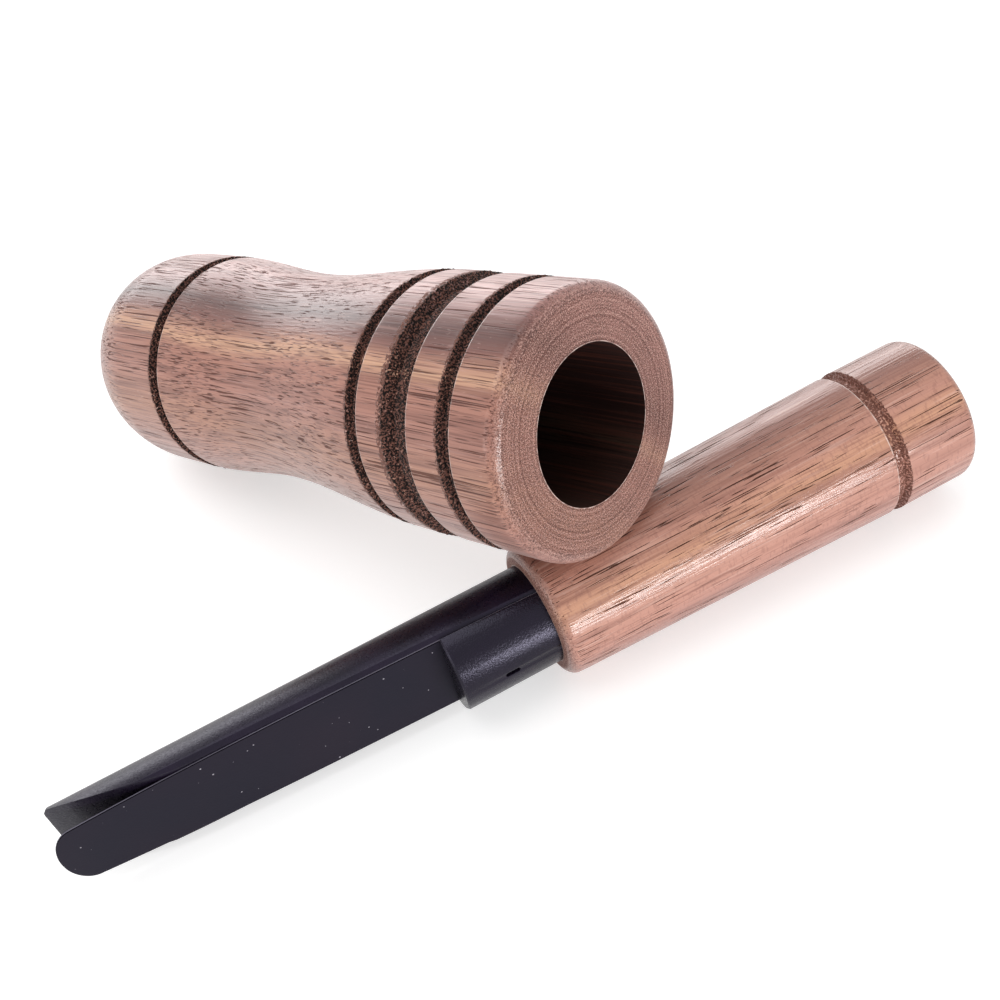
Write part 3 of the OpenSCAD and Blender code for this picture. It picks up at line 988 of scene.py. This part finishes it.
def reed_half_width(run):
    """Half the reed's width at a distance from the wedge's front towards its tip."""
    if run <= STRAIGHT_LENGTH:
        share = (max(0, run) / STRAIGHT_LENGTH) ** REED["taper_power"]
        return (REED["root_width"] + (REED["tip_width"] - REED["root_width"]) * share) / 2
    past = min(1, (run - STRAIGHT_LENGTH) / REED["tip_length"])
    return REED["tip_width"] / 2 * math.sqrt(max(0, 1 - past * past))


def reed_points():
    """The reed's points flat on the table, in the cartridge's frame, run by run towards the tip."""
    whole = REED["under_wedge"] + STRAIGHT_LENGTH
    runs = [whole * i / REED_RUNS - REED["under_wedge"] for i in range(REED_RUNS)]
    for i in range(TIP_RUNS + 1):
        round_the_tip = math.sin(math.pi / 2 * i / TIP_RUNS)
        runs.append(STRAIGHT_LENGTH + REED["tip_length"] * round_the_tip)
    slope = math.radians(TABLE_SLOPE)
    points = []
    for run in runs:
        for height, inset in REED_LAYERS:
            half = max(TIP_LEFT, reed_half_width(run) - inset)
            end = min(run, FREE_LENGTH - inset)
            for j in range(REED_ACROSS + 1):
                side = half * (2 * j / REED_ACROSS - 1)
                x = -WEDGE_OUT - end * math.cos(slope) - height * math.sin(slope)
                z = TABLE_HEIGHT - end * math.sin(slope) + height * math.cos(slope)
                points.append((x * MM, side * MM, z * MM))
    return len(runs), points


# %% Faces of the reed
# The material slots of its faces, its pressed rim and its cut edges
FACE, RIM, CUT = 0, 1, 2


def reed_object(film, rim, cut_edge):
    """The reed as a closed mesh of quads: a top, a bottom, a pressed rim and its cut edges."""
    runs, points = reed_points()
    row = REED_ACROSS + 1
    top = len(REED_LAYERS) - 1

    def at(i, layer, j):
        return (i * len(REED_LAYERS) + layer) * row + j

    faces, finish = [], []
    for i in range(runs - 1):
        for j in range(REED_ACROSS):
            upper = (at(i, top, j), at(i, top, j + 1), at(i + 1, top, j + 1), at(i + 1, top, j))
            lower = (at(i, 0, j + 1), at(i, 0, j), at(i + 1, 0, j), at(i + 1, 0, j + 1))
            faces += [upper, lower]
            finish += [FACE, FACE]
    round_the_edge = [((i, j), (i + 1, j)) for i in range(runs - 1) for j in (0, REED_ACROSS)]
    round_the_edge += [((i, j), (i, j + 1)) for i in (0, runs - 1) for j in range(REED_ACROSS)]
    for low in range(top):
        for (i, j), (k, m) in round_the_edge:
            faces.append((at(i, low, j), at(k, low, m), at(k, low + 1, m), at(i, low + 1, j)))
            finish.append(RIM if low == top - 1 else CUT)
    mesh = bpy.data.meshes.new("reed_film")
    mesh.from_pydata(points, [], faces)
    for material in (film, rim, cut_edge):
        mesh.materials.append(material)
    mesh.polygons.foreach_set("material_index", finish)
    return new_object("reed_film", mesh)


# %% [markdown]
# ## Polyester film
# The film is dark and satin. To the eye its flat face mirrors broad light evenly and carries pale
# dust from handling. The pressed rim is painted near black with hardly any shine, as a painted
# shadow along the edge, and the cut edge is painted paler than both, as a painted highlight. One
# function makes all three, because only their colours, shine and dust differ.

# %% Make the film
# Dust lies in cells of this size in mm. Only those above DUST_FROM hold a speck, whose radius is up
# to DUST_SIZE of a cell, with a soft rim. Real dust is finer, and wouldn't show
DUST_CELL = 0.9
DUST_FROM = 0.7
DUST_SIZE = 0.14
DUST_SOFTNESS = 0.04
DUST_GREY = "#bdb8c2"
# The film's faint clouds, as the plastic's, and its grain in mm, which is drawn coarse to show
FILM_CLOUDS = (12, *NOISE_MIDDLE, 1)
FILM_GRAIN = 0.3


def polyester_film(name, colour, haze, shine, dust):
    """Dark polyester film: flat and satin, with dust from handling where dust is above 0."""
    material, tree, in_mm, colour = clouded_plastic(name, colour, haze, *FILM_CLOUDS)
    cells = add(tree, "ShaderNodeTexVoronoi", {"Vector": in_mm, "Scale": 1 / DUST_CELL}).outputs
    size = add(tree, "ShaderNodeSeparateXYZ", (cells["Color"],)).outputs["X"]
    size = add(tree, "ShaderNodeMapRange", (size, DUST_FROM, 1, 0, DUST_SIZE))
    inside = add(tree, "ShaderNodeMath", (size, cells["Distance"]), operation="SUBTRACT")
    speck = add(tree, "ShaderNodeMapRange", (inside, 0, DUST_SOFTNESS, 0, dust))
    colour = add(tree, "ShaderNodeMix", (speck, colour, linear(DUST_GREY)), data_type="RGBA")
    grain = streaks(tree, in_mm, FILM_GRAIN, FILM_GRAIN)
    bump = add(tree, "ShaderNodeBump", {"Height": grain, "Distance": 0.02 * MM, "Strength": 0.3})
    shader = {
        "Base Color": colour,
        "Roughness": 0.36,
        "Specular IOR Level": shine,
        "Specular Tint": VIOLET,
        "Normal": bump,
    }
    add(tree, "ShaderNodeOutputMaterial", (add(tree, "ShaderNodeBsdfPrincipled", shader),))
    return material


film = polyester_film("polyester_film", "#0d0a18", "#140d1a", 0.17, 0.75)
# Near black with hardly any shine: a painted shadow along the reed's upper edge
film_rim_shade = polyester_film("film_rim_painted_shade", "#050409", "#08060a", 0.03, 0.0)
# A paler grey: a painted highlight on the reed's cut edge
film_edge_highlight = polyester_film("film_edge_painted_highlight", "#5d5a66", "#6f6b78", 0.25, 0.0)
print("materials:", len(bpy.data.materials))

# %% Lay the reed on the table
reed = reed_object(film, film_rim_shade, film_edge_highlight)
reed.data.transform(cartridge_place)
weld_and_smooth(reed, outwards=True)
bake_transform(reed)
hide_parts("reed")
print("reed has", len(reed.data.polygons), "faces")

# %% [markdown]
# ## Floor
# A plain matt white floor, as for a catalogue picture. Brighter lamps could lift it to white, but
# would bleach the wood too. Instead it shows the camera and every reflection a little light of its
# own, so it reads as white where it is fully lit, and still darkens where the call shades it.

# %% Floor
# Beyond the floor the white world shows, so a low view from behind has no grey far floor
FLOOR_SIZE = 1000 * MM
# It lies this far under the call, so that the two never share a surface
FLOOR_DROP = 0.05 * MM
# The share of the floor's brightness that the camera and reflections see whatever shades it
FLOOR_GLOW = 0.5


def seen_rays(tree):
    """1 for what the camera sees, in a reflection or through glass too, 0 for light on the call."""
    rays = add(tree, "ShaderNodeLightPath").outputs
    seen = rays["Is Camera Ray"]
    for other in ("Is Glossy Ray", "Is Transmission Ray"):
        seen = add(tree, "ShaderNodeMath", (seen, rays[other]), operation="MAXIMUM")
    return seen


def floor_finish():
    """Matt white, lifted to full white for the camera and for reflections."""
    material, tree = new_material("white_floor")
    glow = add(tree, "ShaderNodeMath", (seen_rays(tree), FLOOR_GLOW), operation="MULTIPLY")
    shader = {
        "Base Color": linear("#e4e4e4"),
        "Roughness": 1.0,
        "Specular IOR Level": 0.0,
        "Emission Color": linear("#ffffff"),
        "Emission Strength": glow,
    }
    add(tree, "ShaderNodeOutputMaterial", (add(tree, "ShaderNodeBsdfPrincipled", shader),))
    return material


def floor_object():
    """A square of floor under the call."""
    half = FLOOR_SIZE / 2
    mesh = bpy.data.meshes.new("floor")
    corners = [(x * half, y * half, -FLOOR_DROP) for x, y in ((-1, -1), (1, -1), (1, 1), (-1, 1))]
    mesh.from_pydata(corners, [], [(0, 1, 2, 3)])
    mesh.materials.append(floor_finish())
    return new_object("floor", mesh)


floor_object()
print("floor, mm:", round(FLOOR_SIZE / MM), "square")

# %% [markdown]
# ## Light
# The call was lit evenly from all round, with one low bright box in front. The box's place was
# worked out from its highlights on the end piece, the wedge and the rounding of the wide end. One
# lamp above could light the call too, but only broad panels and a white world light it evenly.

# %% World and lamps
WORLD_LEVEL = 0.5
# Of each lamp: its name, its place, what it looks at and its width and height in mm, and its
# brightness, where 1 is plain white
LAMPS = (
    ("front_box", (105, -550, 55), (20, -34, 14), (330, 70), 27),
    ("top_panel", (-150, 100, 600), (0, 0, 0), (500, 500), 2.0),
    ("back_panel", (150, 600, 150), (0, 0, 20), (900, 280), 3.4),
    ("left_panel", (-560, -80, 180), (0, 0, 20), (300, 300), 2.0),
)


def world_light():
    """White behind everything, and a softer white as the light that falls on the call."""
    world = bpy.data.worlds.new("studio")
    bpy.context.scene.world = world
    world.use_nodes = True
    tree = world.node_tree
    tree.nodes.clear()
    strength = add(tree, "ShaderNodeMapRange", (seen_rays(tree), 0, 1, WORLD_LEVEL, 1))
    sky = add(tree, "ShaderNodeBackground", {"Color": linear("#ffffff"), "Strength": strength})
    add(tree, "ShaderNodeOutputWorld", (sky,))


def soft_lamp(name, place_mm, target_mm, size_mm, radiance):
    """A rectangular soft lamp that looks at a point, as bright as radiance times plain white."""
    data = bpy.data.lights.new(name, "AREA")
    data.shape = "RECTANGLE"
    data.size, data.size_y = (size * MM for size in size_mm)
    data.energy = radiance * math.pi * data.size * data.size_y
    lamp = new_object(name, data)
    lamp.location = Vector(place_mm) * MM
    away = Vector(target_mm) - Vector(place_mm)
    lamp.rotation_euler = away.to_track_quat("-Z", "Y").to_euler()
    lamp.visible_camera = False
    print(name, "gives", round(data.energy, 2), "W")


world_light()
for settings in LAMPS:
    soft_lamp(*settings)
bpy.context.scene.view_settings.view_transform = "Standard"
